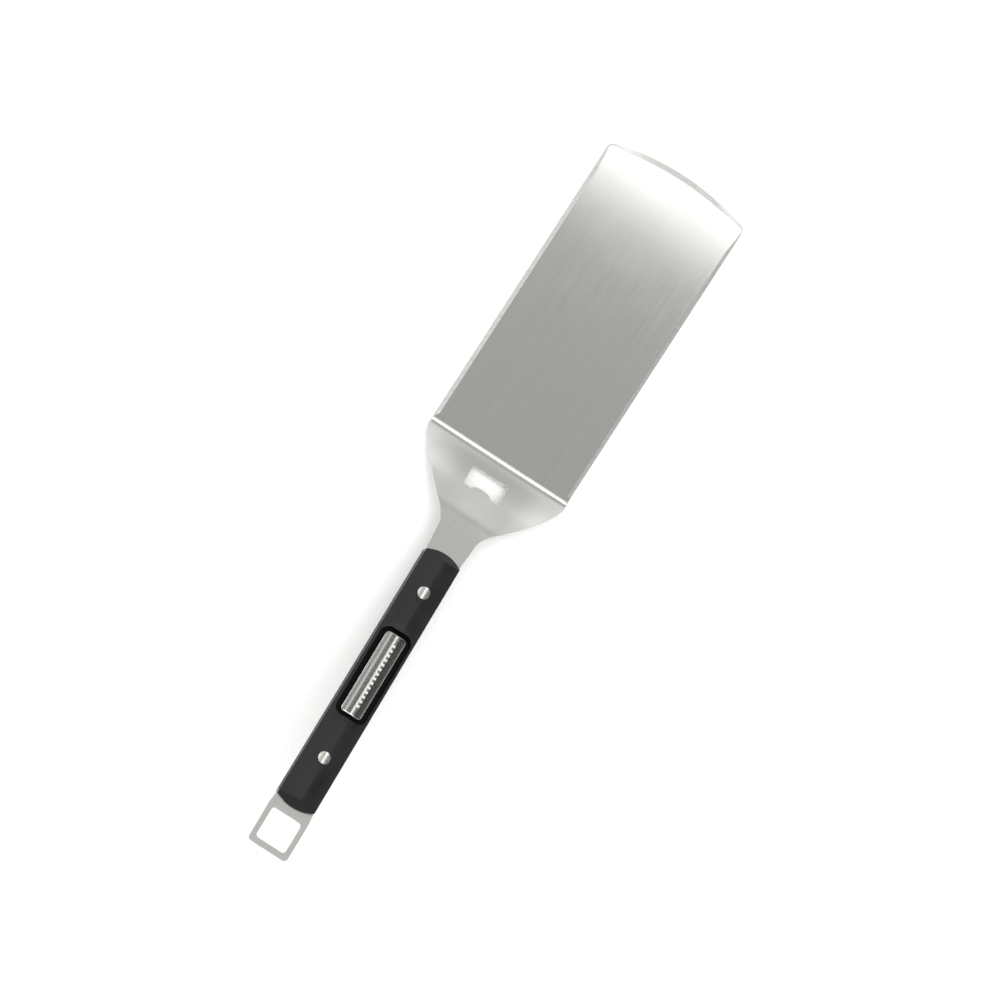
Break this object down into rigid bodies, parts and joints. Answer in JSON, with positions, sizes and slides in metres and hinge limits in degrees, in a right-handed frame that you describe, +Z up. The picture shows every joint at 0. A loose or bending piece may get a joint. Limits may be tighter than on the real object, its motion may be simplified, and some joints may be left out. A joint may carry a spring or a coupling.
{
  "type": "grill spatula",
  "caption": "Long steel grill turner with a cranked shoulder, bottle opener slot, riveted black handle scales and a square hanging loop.",
  "frame": {"origin": "on the ground, below the middle of the whole length and width", "axes": "+Y along the tool from hanging loop to blade tip, +Z up out of the blade's upper face, +X to the right"},
  "size_m": [0.0894, 0.4368, 0.0576],
  "materials": {
    "sheet_steel": "stainless sheet, brushed lengthwise, satin",
    "scale_resin": "black moulded resin, fine matte grain",
    "badge_steel": "stainless, polished along its length",
    "rivet_steel": "stainless, ground flush and polished",
    "pad_foam": "black adhesive foam"
  },
  "bodies": {
    "root": {"blade_and_tang": "sheet_steel", "upper_scale": "scale_resin", "lower_scale": "scale_resin", "badge_plate": "badge_steel", "badge_pad": "pad_foam", "front_rivet_tube": "rivet_steel", "front_rivet_pin": "rivet_steel", "rear_rivet_tube": "rivet_steel", "rear_rivet_pin": "rivet_steel"}
  },
  "joints": []
}
